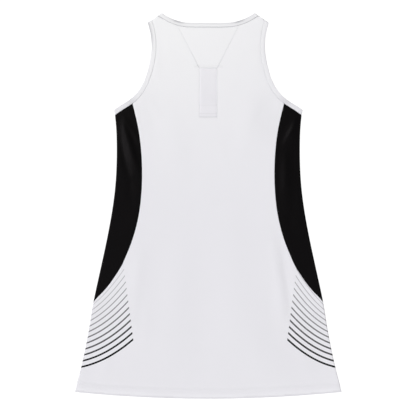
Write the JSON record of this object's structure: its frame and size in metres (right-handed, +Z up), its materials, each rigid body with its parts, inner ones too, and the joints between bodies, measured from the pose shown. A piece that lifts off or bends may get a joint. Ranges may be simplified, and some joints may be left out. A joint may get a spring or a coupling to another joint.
{
  "type": "dress",
  "caption": "Sleeveless A-line sports dress laid flat with its back up: bound neck and armholes, yoke insert, mesh vent strip and black curved side panels.",
  "frame": {"origin": "centre of the laid dress's outline, on the surface that it lies on", "axes": "+Y from the hem to the neck, +Z up from the surface, +X to the wearer's right, since the back is up"},
  "size_m": [0.5856, 0.848, 0.0057],
  "materials": {
    "white_knit": "smooth matt polyester knit",
    "vent_mesh": "fine open mesh knit",
    "black_knit": "smooth black knit with a soft sheen",
    "white_binding": "folded knit binding"
  },
  "bodies": {
    "root": {"back_body": "white_knit", "front_body": "white_knit", "back_insert": "white_knit", "back_vent": "vent_mesh", "side_panel_right": "black_knit", "side_panel_left": "black_knit", "armhole_binding_right": "white_binding", "armhole_binding_left": "white_binding", "neck_binding": "white_binding"}
  },
  "joints": []
}
